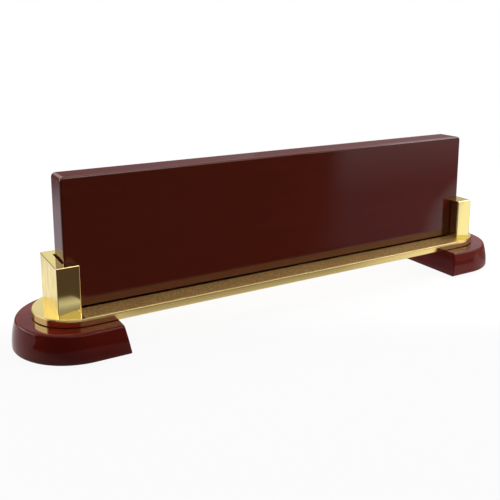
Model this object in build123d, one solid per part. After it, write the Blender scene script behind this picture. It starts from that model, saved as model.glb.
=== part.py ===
from build123d import *
import os

# Desk name plate: a lacquered wooden panel stands in two slotted posts on a metal bar with two feet.
# Frame: +X along the panel, -Y towards the reader, +Z up, origin on the desk under the middle.
# Sizes are in millimetres. The right-hand pieces are modelled, and the left-hand ones mirror them.

# Panel
panel_length = 203.2
panel_height = 50.8
panel_thickness = 12.7
panel_corner_radius = 1.8
panel_edge_radius = 0.9

# Posts
post_height = 19.0
post_cheek = 5.05
post_end_wall = 3.8
post_grip = 4.5
post_edge_radius = 0.4
slot_side_clearance = 0.3
slot_end_clearance = 0.5
slot_floor = 0.5

# Bar
bar_thickness = 3.2
bar_side_margin = 5.0
bar_end_margin = 6.8
bar_rim_radius = 0.5
bar_lower_rim_radius = 0.4

# Feet
foot_height = 11.0
foot_margin = 7.7
foot_inner_reach = 13.7
foot_inner_lean = 2.2
foot_side_lean = 1.7
foot_side_bulge = 0.5
foot_shoulder_radius = 1.2
foot_base_radius = 0.6
foot_inner_edge_radius = 0.4

# Screws and washers
screw_diameter = 3.0
screw_head_diameter = 5.6
screw_head_height = 2.4
screw_head_radius = 1.0
screw_head_recess = 0.6
screw_tip_chamfer = 0.4
screw_engagement = 8.8
screw_thread_clearance = 0.1
screw_hole_clearance = 0.4
screw_hole_tip_room = 1.7
drive_length = 3.2
drive_width = 0.9
drive_depth = 1.3
washer_diameter = 7.0
washer_thickness = 0.5
counterbore_clearance = 0.6

# Felt pads
felt_thickness = 0.8
felt_inset = 2.2

# Levels above the desk
foot_base_z = felt_thickness
foot_top_z = foot_base_z + foot_height
bar_top_z = foot_top_z + bar_thickness
panel_base_z = bar_top_z + slot_floor
washer_top_z = foot_base_z + screw_head_recess + screw_head_height + washer_thickness

# Plan, measured from the middle of the panel
slot_width = panel_thickness + 2 * slot_side_clearance
slot_depth = post_grip + slot_end_clearance
post_depth = slot_width + 2 * post_cheek
post_width = slot_depth + post_end_wall
post_inner_x = panel_length / 2 - post_grip
post_outer_x = post_inner_x + post_width
bar_width = post_depth + 2 * bar_side_margin
bar_length = 2 * (post_outer_x + bar_end_margin)
end_centre_x = (bar_length - bar_width) / 2
foot_half_depth = bar_width / 2 + foot_margin
screw_x = (post_inner_x + post_outer_x) / 2
screw_y = (slot_width + post_cheek) / 2
screw_places = [(screw_x, -screw_y), (screw_x, screw_y)]

# Alignments that stand a solid on its own origin or hang it below
stand = (Align.CENTER, Align.CENTER, Align.MIN)
hang = (Align.CENTER, Align.CENTER, Align.MAX)


def make_panel():
    # A board with rounded corners and softened edges, standing on the floors of the posts' slots.
    outline = RectangleRounded(panel_length, panel_height, panel_corner_radius)
    board = extrude(Plane.XZ * outline, panel_thickness / 2, both=True)
    faces = board.faces().filter_by(Axis.Y)
    board = fillet(faces.edges(), panel_edge_radius)
    return Pos(0, 0, panel_base_z + panel_height / 2) * board


def make_bar():
    # A flat bar with full-round ends, a rounded top rim and a softened lower one, drilled for the screws.
    bar = extrude(SlotOverall(bar_length, bar_width), bar_thickness)
    bar = fillet(bar.faces().sort_by(Axis.Z)[-1].edges(), bar_rim_radius)
    bar = fillet(bar.faces().sort_by(Axis.Z)[0].edges(), bar_lower_rim_radius)
    hole = Cylinder((screw_diameter + screw_hole_clearance) / 2, bar_thickness, align=stand)
    for x, y in screw_places:
        bar -= Pos(x, y, 0) * hole
        bar -= Pos(-x, y, 0) * hole
    return Pos(0, 0, foot_top_z) * bar


def make_post():
    # A block with a slot for the panel's end, open at the top, with a thin floor behind its rounded lips,
    # tapped from below in both cheeks.
    block = Pos((post_inner_x + post_outer_x) / 2, 0) * Rectangle(post_width, post_depth)
    slot = Pos(post_inner_x + slot_depth / 2, 0) * Rectangle(slot_depth, slot_width)
    section = block - slot
    lips, slot_corners, outer_corners = section.vertices().group_by(Axis.X)
    section = fillet(lips + outer_corners, post_edge_radius)
    post = extrude(section, post_height)
    post = fillet(post.faces().sort_by(Axis.Z)[-1].edges(), post_edge_radius)
    floor_depth = slot_depth - post_edge_radius
    floor_x = post_inner_x + slot_depth - floor_depth / 2
    post += extrude(Pos(floor_x, 0) * Rectangle(floor_depth, slot_width), slot_floor)
    tapped_radius = (screw_diameter + screw_thread_clearance) / 2
    tapped_hole = Cylinder(tapped_radius, screw_engagement + screw_hole_tip_room, align=stand)
    for x, y in screw_places:
        post -= Pos(x, y, 0) * tapped_hole
    return Pos(0, 0, bar_top_z) * post


def foot_section():
    # Half of the foot's cross-section: flat base, bulging side that leans in, rounded shoulder, flat top.
    base = (foot_half_depth, 0)
    shoulder = (foot_half_depth - foot_side_lean, foot_height)
    side = SagittaArc(base, shoulder, -foot_side_bulge)
    rest = Polyline(shoulder, (0, foot_height), (0, 0), base)
    half = make_face([side, rest])
    half = fillet(half.vertices().sort_by_distance(shoulder)[0], foot_shoulder_radius)
    return fillet(half.vertices().sort_by_distance(base)[0], foot_base_radius)


def make_foot():
    # The section goes round the bar's end and runs straight to a leaning, flat-cut inner face.
    half = foot_section()
    round_end = Rot(0, 0, -90) * revolve(Plane.XZ * half, Axis.Z, 180)
    straight = extrude(Plane.YZ * (half + mirror(half, Plane.YZ)), -foot_inner_reach)
    inner_base = (-foot_inner_reach, 0)
    inner_top = (foot_inner_lean - foot_inner_reach, foot_height)
    kept = Polyline(inner_base, inner_top, (foot_half_depth, foot_height), (foot_half_depth, 0), close=True)
    foot = (round_end + straight) & extrude(Plane.XZ * make_face(kept), foot_half_depth, both=True)
    foot = fillet(foot.faces().sort_by(Axis.X)[0].edges(), foot_inner_edge_radius)
    foot = Pos(end_centre_x, 0, foot_base_z) * foot
    clear_hole = Cylinder((screw_diameter + screw_hole_clearance) / 2, foot_height, align=stand)
    counterbore_depth = washer_top_z - foot_base_z
    counterbore = Cylinder((washer_diameter + counterbore_clearance) / 2, counterbore_depth, align=stand)
    for x, y in screw_places:
        foot -= Pos(x, y, foot_base_z) * clear_hole
        foot -= Pos(x, y, foot_base_z) * counterbore
    return foot


def make_screw():
    # A pan-head screw, head down, with a cross recess.
    head_top_z = washer_top_z - washer_thickness
    head = Pos(0, 0, head_top_z) * Cylinder(screw_head_diameter / 2, screw_head_height, align=hang)
    head = fillet(head.edges().sort_by(Axis.Z)[0], screw_head_radius)
    for length, width in ((drive_length, drive_width), (drive_width, drive_length)):
        head -= Pos(0, 0, head_top_z - screw_head_height) * Box(length, width, drive_depth, align=stand)
    shank_length = bar_top_z + screw_engagement - head_top_z
    shank = Cylinder(screw_diameter / 2, shank_length, align=stand)
    shank = chamfer(shank.edges().sort_by(Axis.Z)[-1], screw_tip_chamfer)
    return head + Pos(0, 0, head_top_z) * shank


def make_washer():
    # A flat ring between the screw's head and the floor of the counterbore.
    ring = Circle(washer_diameter / 2) - Circle((screw_diameter + screw_hole_clearance) / 2)
    return Pos(0, 0, washer_top_z - washer_thickness) * extrude(ring, washer_thickness)


def make_felt_pad():
    # A thin D-shaped pad inside the edge of the foot's base.
    radius = foot_half_depth - felt_inset
    straight_length = foot_inner_reach - felt_inset
    straight = Pos(-straight_length / 2, 0) * Rectangle(straight_length, 2 * radius)
    inside = Pos((radius - straight_length) / 2, 0) * Rectangle(straight_length + radius, 2 * radius)
    outline = straight + (Circle(radius) & inside)
    return Pos(end_centre_x, 0, 0) * extrude(outline, felt_thickness)


def at_screw_places(fastener):
    # One copy of a fastener at every screw, on both sides.
    places = [(side * x, y) for side in (-1, 1) for x, y in screw_places]
    return Compound(children=[Pos(x, y, 0) * fastener for x, y in places])


nodes = {
    "name_panel": make_panel(),
    "base_bar": make_bar(),
    "post_screws": at_screw_places(make_screw()),
    "screw_washers": at_screw_places(make_washer()),
}
sided = {"post": make_post(), "foot": make_foot(), "felt_pad": make_felt_pad()}
for name, solid in sided.items():
    nodes["right_" + name] = solid
    nodes["left_" + name] = mirror(solid, Plane.YZ)

os.makedirs("parts", exist_ok=True)
for name, shape in nodes.items():
    export_step(shape, os.path.join("parts", name + ".step"))
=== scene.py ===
import math

import bpy
from mathutils import Euler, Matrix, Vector, noise


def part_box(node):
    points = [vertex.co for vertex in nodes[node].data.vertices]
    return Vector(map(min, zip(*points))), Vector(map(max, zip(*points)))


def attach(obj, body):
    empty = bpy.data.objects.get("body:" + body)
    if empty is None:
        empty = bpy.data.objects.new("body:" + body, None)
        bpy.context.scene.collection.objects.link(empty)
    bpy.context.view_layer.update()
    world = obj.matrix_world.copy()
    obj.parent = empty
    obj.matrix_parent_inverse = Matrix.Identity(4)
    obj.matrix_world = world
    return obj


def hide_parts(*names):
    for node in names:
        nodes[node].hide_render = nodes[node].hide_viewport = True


# Desk name plate: finishes, felt pads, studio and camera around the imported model. Lengths are in metres.
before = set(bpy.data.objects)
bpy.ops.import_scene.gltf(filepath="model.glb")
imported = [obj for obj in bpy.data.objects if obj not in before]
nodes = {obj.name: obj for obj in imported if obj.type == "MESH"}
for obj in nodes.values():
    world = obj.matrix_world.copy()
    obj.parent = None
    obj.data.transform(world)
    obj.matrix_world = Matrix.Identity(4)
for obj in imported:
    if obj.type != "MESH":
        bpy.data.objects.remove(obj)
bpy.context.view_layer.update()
sides = ("left", "right")

# Camera, from the photograph: its place, its turn to the right, its tilt down, and its focal length in
# pixels. The optical axis meets the picture above its middle, so the lens is shifted by that much.
picture_size = 500
camera_place = (-0.16555, -0.25476, 0.11834)
camera_turn = math.radians(30.095)
camera_tilt = math.radians(10.741)
focal_pixels = 696.0
axis_row = 163.98
sensor_width = 36

# Finishes, as linear colours
panel_dark = (0.069, 0.0080, 0.0028, 1)
panel_light = (0.073, 0.0085, 0.0031, 1)
foot_dark = (0.090, 0.0070, 0.0040, 1)
foot_light = (0.100, 0.0080, 0.0046, 1)
gold_polished = (0.95, 0.80, 0.33, 1)
gold_brushed_light = (0.92, 0.78, 0.40, 1)
gold_brushed_dark = (0.68, 0.54, 0.25, 1)
gold_level = (0.98, 0.83, 0.38, 1)
gold_side = (0.96, 0.75, 0.30, 1)
# Darkened as painted shade on the bar's rounded rim, which dims its highlight
rim_gold_painted_shade = (0.42, 0.32, 0.125, 1)
gold_edge = (0.98, 0.93, 0.78, 1)
# The sanded strip's grain, darkened and reddened as painted shade and a painted reflection of the panel
strip_pale_painted_shade = (0.88, 0.61, 0.23, 1)
strip_deep_painted_shade = (0.42, 0.27, 0.095, 1)
steel_colour = (0.60, 0.60, 0.58, 1)
felt_dark = (0.008, 0.008, 0.009, 1)
felt_light = (0.032, 0.032, 0.036, 1)
floor_front = (0.25, 0.25, 0.25, 1)
floor_back = (0.85, 0.83, 0.80, 1)
white = (1, 1, 1, 1)

# Gloss: lacquers by their index of refraction, metals by their roughness
panel_ior = 1.50
foot_ior = 1.25
polished_rough = 0.06
brushed_rough = 0.26
rim_rough = 0.28
strip_added_rough = 0.40
satin_added_rough = 0.12
strip_metal = 0.87
felt_rough = 0.95
felt_sheen = 0.25

# Relief: scales along each axis, in waves per metre, and depths
grain_scale = (18, 420, 420)
even_scale = (1, 1, 1)
post_streak_scale = (2800, 2800, 110)
strip_grain_scale = (1500, 2300, 2300)
post_streak_strength = 0.3
strip_grain_strength = 0.6
peel_strength = 0.006
felt_strength = 0.6
peel_depth = 0.0005
fine_depth = 0.0002

# Where the bar's finish changes, each as a start and an end: along the bar for the sanded strips, which also
# carry painted shade, and the satin sides, and across it for the strips' inner edges. Slopes run from 0 on an
# upright face to 1 on a level one.
strip_end = (0.0969, 0.0972)
satin_end = (0.090, 0.098)
strip_inner_edge = (0.0062, 0.0066)
level_slopes = (0.90, 0.99)
side_slopes = (0.12, 0.35)

# Felt pads: soft edge, fuzz, and how far the flat faces' rings are drawn in
felt_soft_edge = 0.0003
felt_fuzz = 0.00006
felt_fuzz_scale = 1500
felt_ring_insets = (0.008, 0.004, 0.0012)

# Floor: its half width, the direction and the places where it grows paler, and its share of white by distance
floor_half = 10
paler_direction = (0.6, 1, 0)
paler_places = (-0.06, -0.01)
white_share = (0.94, 1.0)
white_reach = (0.15, 0.45)
ambient_level = 0.12

# Points that the lamps are aimed at
plate_middle = (0, 0, 0.03)
plate_left = (-0.1, 0, 0.03)

# Studio tones, as linear colours, which gloss alone shows
dark_tone = (0.075, 0.050, 0.045)
haze_tone = (0.22, 0.19, 0.24)
back_left_tone = (0.10, 0.09, 0.09)
back_middle_tone = (0.24, 0.22, 0.24)
back_right_tone = (0.80, 0.75, 0.85)
back_far_tone = (0.19, 0.17, 0.19)
back_middle_floor_tone = (0.57, 0.54, 0.60)
back_near_tone = (0.63, 0.60, 0.67)
far_left_tone = (0.20, 0.17, 0.18)
far_right_tone = (0.30, 0.26, 0.28)
corner_tone = (0.16, 0.12, 0.11)
right_tone = (0.22, 0.18, 0.18)
side_tone = (0.45, 0.42, 0.42)
top_tone = (0.55, 0.48, 0.42)
soft_box_tone = (1.6, 1.5, 1.7)
front_box_tone = (2.2, 2.0, 1.8)
left_box_tone = (5.0, 4.9, 5.0)
right_box_tone = (5.0, 5.0, 4.6)
edge_box_tone = (5.2, 5.0, 7.6)
shoulder_box_tone = (6.0, 5.4, 6.4)

# Studio cards: the step between layers on the floor, the walls' distances, and the facets of a bent card
card_level = 0.0004
flag_distance = 1.5
edge_distance = 1.55
box_distance = 1.6
far_distance = 1.65
back_distance = 1.7
wall_steps = 48
top_box_height = 0.80


def node_adder(tree):
    # A function that adds a node to a tree, with inputs given by name as values or as sockets to link.
    def add(kind, **inputs):
        node = tree.nodes.new(kind)
        for key, value in inputs.items():
            socket = node.inputs[key.replace("_", " ")]
            if isinstance(value, bpy.types.NodeSocket):
                tree.links.new(value, socket)
            else:
                socket.default_value = value
        return node

    return add


def new_material(name):
    # A node material with its shader, and a function that adds nodes to it.
    material = bpy.data.materials.new(name)
    material.use_nodes = True
    tree = material.node_tree
    return material, tree, tree.nodes["Principled BSDF"], node_adder(tree)


def ramp(add, factor, low, high, start=0.0, end=1.0):
    # A smooth change from one colour to another.
    node = add("ShaderNodeValToRGB", Fac=factor)
    node.color_ramp.interpolation = "EASE"
    node.color_ramp.elements[0].position = start
    node.color_ramp.elements[0].color = low
    node.color_ramp.elements[1].position = end
    node.color_ramp.elements[1].color = high
    return node.outputs["Color"]


def spread(add, value, low, high, start=0.0, end=1.0):
    # A number mapped from one range to another.
    node = add("ShaderNodeMapRange", Value=value, From_Min=start, From_Max=end, To_Min=low, To_Max=high)
    return node.outputs["Result"]


def maths(add, operation, *values):
    # One operation on numbers.
    node = add("ShaderNodeMath")
    node.operation = operation
    for value, socket in zip(values, node.inputs):
        node.id_data.links.new(value, socket)
    return node.outputs["Value"]


def product(add, first, second):
    return maths(add, "MULTIPLY", first, second)


def total(add, first, second):
    return maths(add, "ADD", first, second)


def unsigned(add, value):
    return maths(add, "ABSOLUTE", value)


def mixed(add, factor, first, second):
    # One colour laid over another by a factor.
    return add("ShaderNodeMixRGB", Fac=factor, Color1=first, Color2=second).outputs["Color"]


def mixed_shader(add, factor, first, second):
    # One shader laid over another by a factor.
    node = add("ShaderNodeMixShader", Fac=factor)
    node.id_data.links.new(first, node.inputs[1])
    node.id_data.links.new(second, node.inputs[2])
    return node.outputs["Shader"]


def speckle(add, stretch, **settings):
    # Noise in object coordinates, drawn out along an axis by a small number there.
    place = add("ShaderNodeTexCoord")
    mapping = add("ShaderNodeMapping", Vector=place.outputs["Object"], Scale=stretch)
    return add("ShaderNodeTexNoise", Vector=mapping.outputs["Vector"], **settings).outputs["Fac"]


def relief(add, shader, height, strength, depth):
    # Small bumps on a shader's surface.
    bump = add("ShaderNodeBump", Strength=strength, Distance=depth, Height=height)
    shader.id_data.links.new(bump.outputs["Normal"], shader.inputs["Normal"])


def slope(add, axis):
    # How squarely a face looks along an object axis, from 0 to 1.
    place = add("ShaderNodeTexCoord")
    parts = add("ShaderNodeSeparateXYZ", Vector=place.outputs["Normal"])
    return unsigned(add, parts.outputs[axis])


def facing(add, axis):
    # 1 on flat faces across an object axis, 0 on the others and on the rounded edges.
    return spread(add, slope(add, axis), 0.0, 1.0, *level_slopes)


def post_faces(add, streak_colour):
    # The posts are brushed on their faces across the panel's length, and polished elsewhere.
    ends = facing(add, "X")
    return ends, {
        "Base Color": mixed(add, ends, gold_polished, streak_colour),
        "Roughness": spread(add, ends, polished_rough, brushed_rough),
    }


def bar_faces(add, streak_colour):
    # Between the posts the bar's top is sanded beside the panel, with its colour darkened and reddened there
    # as painted shade and a painted reflection of the panel, and its sides are satin. The rest is polished,
    # with a rougher rim whose colour is darkened as painted shade that dims its highlight.
    place = add("ShaderNodeTexCoord")
    parts = add("ShaderNodeSeparateXYZ", Vector=place.outputs["Object"])
    along = unsigned(add, parts.outputs["X"])
    across = unsigned(add, parts.outputs["Y"])
    level = facing(add, "Z")
    upright = spread(add, slope(add, "Z"), 1.0, 0.0, *side_slopes)
    between_posts = spread(add, along, 1.0, 0.0, *strip_end)
    beside_panel = spread(add, across, 0.0, 1.0, *strip_inner_edge)
    strip = product(add, level, product(add, between_posts, beside_panel))
    satin = product(add, upright, spread(add, along, 1.0, 0.0, *satin_end))
    plain_colour = mixed(add, upright, mixed(add, level, rim_gold_painted_shade, gold_level), gold_side)
    plain_rough = spread(add, total(add, level, upright), rim_rough, polished_rough)
    strip_rough = spread(add, strip, 0.0, strip_added_rough)
    satin_rough = spread(add, satin, 0.0, satin_added_rough)
    return strip, {
        # The strip's colour is painted shade and a painted reflection of the panel over its grain
        "Base Color": mixed(add, strip, plain_colour, streak_colour),
        "Roughness": total(add, plain_rough, total(add, strip_rough, satin_rough)),
        "Metallic": spread(add, strip, 1.0, strip_metal),
    }


def lacquer_material(name, dark, light, ior):
    # Dark red stain with a faint wood grain under a thick gloss lacquer.
    material, tree, shader, add = new_material(name)
    grain = speckle(add, grain_scale, Scale=1.0, Detail=5.0)
    peel = speckle(add, even_scale, Scale=160.0, Detail=2.0)
    tree.links.new(ramp(add, grain, dark, light, start=0.35, end=0.7), shader.inputs["Base Color"])
    tree.links.new(spread(add, peel, low=0.02, high=0.05), shader.inputs["Roughness"])
    relief(add, shader, peel, peel_strength, peel_depth)
    shader.inputs["IOR"].default_value = ior
    return material


def gold_material(name, faces, streak_scale, dark, light, strength):
    # Gold-coloured metal whose brushed or sanded faces are streaked along the direction of least scale.
    material, tree, shader, add = new_material(name)
    streaks = speckle(add, streak_scale, Scale=1.0, Detail=4.0)
    brushed, shader_inputs = faces(add, ramp(add, streaks, dark, light, start=0.3, end=0.6))
    shader.inputs["Metallic"].default_value = 1.0
    shader.inputs["Specular Tint"].default_value = gold_edge
    for socket, value in shader_inputs.items():
        tree.links.new(value, shader.inputs[socket])
    relief(add, shader, product(add, streaks, brushed), strength, fine_depth)
    return material


def steel_material(name):
    # Zinc-plated steel, slightly clouded.
    material, tree, shader, add = new_material(name)
    cloud = speckle(add, even_scale, Scale=900.0, Detail=3.0)
    tree.links.new(spread(add, cloud, low=0.22, high=0.4), shader.inputs["Roughness"])
    shader.inputs["Base Color"].default_value = steel_colour
    shader.inputs["Metallic"].default_value = 1.0
    return material


def felt_material(name):
    # Black pressed felt: short matted fibres.
    material, tree, shader, add = new_material(name)
    fibres = speckle(add, even_scale, Scale=2600.0, Detail=4.0, Distortion=2.5)
    tree.links.new(ramp(add, fibres, felt_dark, felt_light, start=0.3, end=0.75), shader.inputs["Base Color"])
    relief(add, shader, fibres, felt_strength, fine_depth)
    shader.inputs["Roughness"].default_value = felt_rough
    shader.inputs["Sheen Weight"].default_value = felt_sheen
    return material


def finish_node(name, material):
    # Gives a CAD node its finish.
    slots = nodes[name].data.materials
    slots.clear()
    slots.append(material)


def link(item):
    bpy.context.scene.collection.objects.link(item)
    return item


def pad_outline(centre_x, half_depth, straight, outward, inset):
    # A D: two straight sides, a round outer end and a flat inner end, drawn in by the inset.
    side_steps = 10
    arc_steps = 40
    end_steps = 24
    reach = straight - inset
    radius = half_depth - inset
    points = [(-reach * (1 - i / side_steps), -radius) for i in range(side_steps)]
    for i in range(arc_steps):
        angle = math.pi * (i / arc_steps - 0.5)
        points.append((radius * math.cos(angle), radius * math.sin(angle)))
    points += [(-reach * i / side_steps, radius) for i in range(side_steps)]
    points += [(-reach, radius * (1 - 2 * i / end_steps)) for i in range(end_steps)]
    return [(centre_x + outward * x, y) for x, y in points]


def pad_rings(thickness):
    # The pad's rings from the middle of its underside, round the soft edge, to the middle of its top.
    soft = felt_soft_edge
    lower = [(inset, 0) for inset in felt_ring_insets]
    lower += [(soft, 0), (soft / 3, soft / 3), (0, soft)]
    return lower + [(inset, thickness - height) for inset, height in reversed(lower)]


def felt_pad(side, material):
    # A pressed felt pad with soft edges and a slightly fuzzy surface, under a foot.
    node = side + "_felt_pad"
    low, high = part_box(node)
    outward = 1 if side == "right" else -1
    half_depth = (high[1] - low[1]) / 2
    outer_x = high[0] if side == "right" else low[0]
    centre_x = outer_x - outward * half_depth
    straight = high[0] - low[0] - half_depth
    thickness = high[2] - low[2]
    rings = pad_rings(thickness)
    points = []
    for inset, height in rings:
        for x, y in pad_outline(centre_x, half_depth, straight, outward, inset + felt_fuzz):
            shift = felt_fuzz * noise.noise_vector(Vector((x, y, height)) * felt_fuzz_scale)
            points.append((x + shift.x, y + shift.y, min(max(height + shift.z, 0), thickness)))
    count = len(points) // len(rings)
    faces = [tuple(range(count)), tuple(reversed(range(len(points) - count, len(points))))]
    for ring in range(len(rings) - 1):
        for i in range(count):
            a = ring * count + i
            b = ring * count + (i + 1) % count
            faces.append((a, a + count, b + count, b))
    if outward > 0:
        faces = [tuple(reversed(face)) for face in faces]
    mesh = bpy.data.meshes.new(side + "_pad")
    mesh.from_pydata(points, [], faces)
    mesh.polygons.foreach_set("use_smooth", [True] * len(mesh.polygons))
    mesh.materials.append(material)
    pad = link(bpy.data.objects.new(side + "_pad", mesh))
    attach(pad, "stand")
    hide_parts(node)


def make_camera():
    data = bpy.data.cameras.new("camera")
    data.sensor_width = sensor_width
    data.lens = focal_pixels / picture_size * sensor_width
    data.shift_y = (axis_row - picture_size / 2) / picture_size
    camera = link(bpy.data.objects.new("camera", data))
    camera.location = camera_place
    camera.rotation_euler = Euler((math.pi / 2 - camera_tilt, 0, -camera_turn))
    bpy.context.scene.camera = camera


def seen_factor(add):
    # 1 for what the camera sees, directly or in a reflection or through glass.
    path = add("ShaderNodeLightPath")
    outside = total(add, path.outputs["Is Camera Ray"], path.outputs["Is Glossy Ray"])
    seen = total(add, outside, path.outputs["Is Transmission Ray"])
    seen.node.use_clamp = True
    return seen


def make_floor():
    # A pale floor that shows white, and keeps part of the object's shadow near the object.
    half = floor_half
    corners = [(-half, -half), (half, -half), (half, half), (-half, half)]
    mesh = bpy.data.meshes.new("floor")
    mesh.from_pydata([(x, y, 0) for x, y in corners], [], [(0, 1, 2, 3)])
    link(bpy.data.objects.new("floor", mesh))
    material, tree, shader, add = new_material("floor")
    shader.inputs["Roughness"].default_value = 1.0
    shader.inputs["Specular IOR Level"].default_value = 0.0
    place = add("ShaderNodeNewGeometry")
    across = add("ShaderNodeVectorMath", Vector=place.outputs["Position"])
    across.operation = "DOT_PRODUCT"
    across.inputs[1].default_value = paler_direction
    paler = spread(add, across.outputs["Value"], 0.0, 1.0, *paler_places)
    tree.links.new(ramp(add, paler, floor_front, floor_back), shader.inputs["Base Color"])
    reach = add("ShaderNodeVectorMath", Vector=place.outputs["Position"])
    reach.operation = "LENGTH"
    share = spread(add, reach.outputs["Value"], *white_share, *white_reach)
    glow = add("ShaderNodeEmission")
    factor = product(add, seen_factor(add), share)
    shown = mixed_shader(add, factor, shader.outputs["BSDF"], glow.outputs["Emission"])
    tree.links.new(shown, tree.nodes["Material Output"].inputs["Surface"])
    mesh.materials.append(material)


def make_world():
    # White where it is seen, softer where it only lights the object.
    world = bpy.data.worlds.new("studio")
    bpy.context.scene.world = world
    world.use_nodes = True
    tree = world.node_tree
    add = node_adder(tree)
    ambient = tree.nodes["Background"]
    ambient.inputs["Color"].default_value = white
    ambient.inputs["Strength"].default_value = ambient_level
    seen = add("ShaderNodeBackground", Color=white)
    shown = mixed_shader(add, seen_factor(add), ambient.outputs["Background"], seen.outputs["Background"])
    tree.links.new(shown, tree.nodes["World Output"].inputs["Surface"])


def area_light(name, place, target, size, power):
    # A soft rectangular lamp aimed at a point.
    data = bpy.data.lights.new(name, "AREA")
    data.shape = "RECTANGLE"
    data.size, data.size_y = size
    data.energy = power
    lamp = link(bpy.data.objects.new(name, data))
    lamp.location = place
    lamp.rotation_euler = (Vector(target) - Vector(place)).to_track_quat("-Z", "Y").to_euler()
    lamp.visible_glossy = False


def card_material():
    # Studio card: its tone attribute is what it shows, and thins out where the tone's alpha falls to 0.
    material, tree, shader, add = new_material("studio_card")
    tree.nodes.remove(shader)
    tone = add("ShaderNodeAttribute")
    tone.attribute_name = "tone"
    clear = add("ShaderNodeBsdfTransparent")
    lit = add("ShaderNodeEmission", Color=tone.outputs["Color"])
    shown = mixed_shader(add, tone.outputs["Alpha"], clear.outputs["BSDF"], lit.outputs["Emission"])
    tree.links.new(shown, tree.nodes["Material Output"].inputs["Surface"])
    return material


def card(name, points, faces, tones):
    # A studio card that is seen in gloss alone.
    mesh = bpy.data.meshes.new(name)
    mesh.from_pydata(points, [], faces)
    attribute = mesh.attributes.new("tone", "FLOAT_COLOR", "POINT")
    for index, tone in enumerate(tones):
        attribute.data[index].color = tone
    mesh.materials.append(studio_card)
    item = link(bpy.data.objects.new(name, mesh))
    item.visible_camera = False
    item.visible_diffuse = False
    item.visible_shadow = False


def floor_card(name, layer, rings):
    # A card on the floor, in its own layer: rings of corners from the inside out, each with a tone and
    # a cover.
    count = len(rings[0][0])
    points = []
    tones = []
    faces = [tuple(range(count))]
    for index, (corners, tone, cover) in enumerate(rings):
        points += [(x, y, card_level * layer) for x, y in corners]
        tones += [tone + (cover,)] * count
        for i in range(count if index else 0):
            a = (index - 1) * count + i
            b = (index - 1) * count + (i + 1) % count
            faces.append((a, b, b + count, a + count))
    card(name, points, faces, tones)


def top_card(name, low, high, height, tone):
    # A level card above the object.
    corners = [(low[0], low[1]), (high[0], low[1]), (high[0], high[1]), (low[0], high[1])]
    points = [(x, y, height) for x, y in corners]
    card(name, points, [(0, 1, 2, 3)], [tone + (1.0,)] * len(points))


def wall_card(name, radius, bearings, levels, first_tone, last_tone=None):
    # A card bent round the object, from one bearing to another, clockwise from +Y in degrees, with its cover
    # at each elevation, in degrees too. Its tone stays the same, or changes evenly along it.
    first, last = bearings
    last_tone = last_tone or first_tone
    points = []
    faces = []
    tones = []
    rows = len(levels)
    for i in range(wall_steps + 1):
        share = i / wall_steps
        bearing = math.radians(first + (last - first) * share)
        tone = tuple(a + (b - a) * share for a, b in zip(first_tone, last_tone))
        for elevation, cover in levels:
            height = radius * math.tan(math.radians(elevation))
            points.append((radius * math.sin(bearing), radius * math.cos(bearing), height))
            tones.append(tone + (cover,))
        for j in range(rows - 1 if i else 0):
            a = (i - 1) * rows + j
            faces.append((a, a + rows, a + rows + 1, a + 1))
    card(name, points, faces, tones)


# Object
finish_node("name_panel", lacquer_material("panel_lacquer", panel_dark, panel_light, panel_ior))
foot_lacquer = lacquer_material("foot_lacquer", foot_dark, foot_light, foot_ior)
post_gold = gold_material("post_gold", post_faces, post_streak_scale, gold_brushed_dark, gold_brushed_light,
                          post_streak_strength)
felt = felt_material("pad_felt")
for side in sides:
    finish_node(side + "_foot", foot_lacquer)
    finish_node(side + "_post", post_gold)
    felt_pad(side, felt)
# The bar's strip colours carry painted shade and a painted reflection of the panel; its rim colour carries
# painted shade
bar_gold = gold_material("bar_gold", bar_faces, strip_grain_scale, strip_deep_painted_shade, strip_pale_painted_shade,
                         strip_grain_strength)
finish_node("base_bar", bar_gold)
steel = steel_material("screw_steel")
finish_node("post_screws", steel)
finish_node("screw_washers", steel)

# Studio
make_camera()
make_floor()
make_world()
area_light("overhead", place=(0.20, 0.29, 0.78), target=plate_middle, size=(0.9, 0.6), power=15.5)
area_light("left_lamp", place=(-0.70, 0.36, 0.24), target=plate_left, size=(0.4, 0.4), power=4.6)
area_light("right_fill", place=(0.85, -0.62, 0.42), target=plate_middle, size=(0.4, 0.4), power=7.8)

# Cards on the floor, as corners from above
studio_card = card_material()
floor_card("front_flag", 3, [
    ([(-2.0, -0.010), (-0.144, -0.010), (-0.116, -0.068), (-0.086, -0.068), (-0.082, -0.053), (0.043, -0.053),
      (1.138, -1.60), (-2.0, -1.60)], dark_tone, 1.0),
    ([(-2.1, -0.008), (-0.142, -0.008), (-0.111, -0.058), (-0.082, -0.058), (-0.078, -0.047), (0.062, -0.047),
      (1.37, -1.70), (-2.1, -1.70)], dark_tone, 0.0),
])
floor_card("front_haze", 2, [
    ([(0.048, -0.054), (0.122, -0.054), (0.178, -0.102), (0.262, -0.160), (0.105, -0.145)], haze_tone, 1.0),
    ([(0.043, -0.050), (0.141, -0.050), (0.193, -0.096), (0.740, -0.500), (0.350, -0.500)], haze_tone, 0.0),
])
floor_card("near_flag", 4, [
    ([(-0.128, -0.028), (-0.088, -0.028), (-0.088, -0.050), (-0.122, -0.052)], dark_tone, 0.74),
    ([(-0.150, 0.000), (-0.076, -0.018), (-0.074, -0.064), (-0.130, -0.072)], dark_tone, 0.0),
])
floor_card("side_flag", 5, [
    ([(-0.066, -0.040), (0.036, -0.040), (0.036, -0.051), (-0.066, -0.051)], dark_tone, 0.65),
    ([(-0.092, -0.032), (0.100, -0.032), (0.100, -0.054), (-0.092, -0.054)], dark_tone, 0.0),
])
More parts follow.
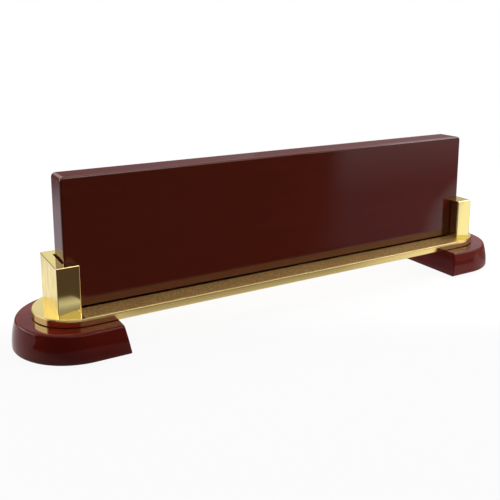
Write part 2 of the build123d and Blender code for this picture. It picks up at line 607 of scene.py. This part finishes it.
floor_card("back_flag", 2, [
    ([(-1.8, 0.29), (1.8, 0.29), (1.8, 1.7), (-1.8, 1.7)], back_far_tone, 1.0),
    ([(-1.9, 0.20), (1.9, 0.20), (1.9, 1.8), (-1.9, 1.8)], back_middle_floor_tone, 1.0),
    ([(-2.0, 0.118), (2.0, 0.118), (2.0, 1.9), (-2.0, 1.9)], back_near_tone, 1.0),
    ([(-2.1, 0.100), (2.1, 0.100), (2.1, 2.0), (-2.1, 2.0)], back_near_tone, 0.0),
])
floor_card("middle_flag", 3, [
    ([(-0.070, 0.035), (0.075, 0.035), (0.075, 0.120), (-0.070, 0.120)], back_middle_floor_tone, 1.0),
    ([(-0.085, 0.022), (0.082, 0.022), (0.095, 0.130), (-0.090, 0.130)], back_middle_floor_tone, 0.0),
])
# Painted shadow: a dim card beside the right foot stands in for the foot's shadow on the floor, seen in gloss
# alone
floor_card("right_contact_shadow", 1, [
    ([(0.106, -0.008), (1.5, -0.10), (1.5, 0.24), (0.106, 0.24)], right_tone, 1.0),
    ([(0.100, -0.026), (1.6, -0.70), (1.6, 0.30), (0.100, 0.30)], right_tone, 0.0),
])

# Cards around and above, as bearings and as covers by elevation
back_levels = [(0, 1), (15, 1), (18, 0.2), (20.5, 0.2), (23, 0.35), (30, 0.35), (38, 0)]
wall_card("front_wall", flag_distance, (190, 273), [(0, 1), (32, 1), (44, 0)], dark_tone)
wall_card("front_box", box_distance, (140, 215), [(24, 0), (30, 1), (46, 1), (52, 0)], front_box_tone)
wall_card("low_wall", flag_distance, (145, 190), [(0, 1), (12, 1), (28, 0.2), (36, 0)], dark_tone)
wall_card("back_wall_left", back_distance, (0, 30), back_levels, back_left_tone, back_middle_tone)
wall_card("back_wall_right", back_distance, (30, 60), back_levels, back_middle_tone, back_right_tone)
wall_card("far_wall", far_distance, (30, 60), [(0, 1), (12, 1), (14, 0)], far_left_tone, far_right_tone)
corner_levels = [(0, 1), (14, 1), (18, 0.1), (30, 0.1), (36, 0)]
wall_card("corner_wall", far_distance, (330, 360), corner_levels, corner_tone)
wall_card("left_box", box_distance, (277, 326), [(12, 0), (15, 1), (30, 1), (33, 0)], left_box_tone)
wall_card("side_wall", flag_distance, (112, 142), [(0, 1), (10, 1), (18, 0)], side_tone)
wall_card("right_box", box_distance, (104, 134), [(20, 0), (24, 1), (36, 1), (41, 0)], right_box_tone)
wall_card("edge_box", edge_distance, (97, 114), [(38, 0), (41, 1), (47, 1), (52, 0)], edge_box_tone)
wall_card("shoulder_box", edge_distance, (132, 156), [(54, 0), (57, 1), (64, 1), (67, 0)], shoulder_box_tone)
wall_card("right_wall", flag_distance, (60, 108), [(0, 1), (10, 1), (22, 0)], right_tone)
wall_card("soft_box", box_distance, (52, 90), [(22, 0), (28, 1), (60, 1), (66, 0)], soft_box_tone)
top_card("top_box", (-0.14, -0.18), (0.70, 0.42), top_box_height, top_tone)

bpy.context.scene.view_settings.view_transform = "Standard"
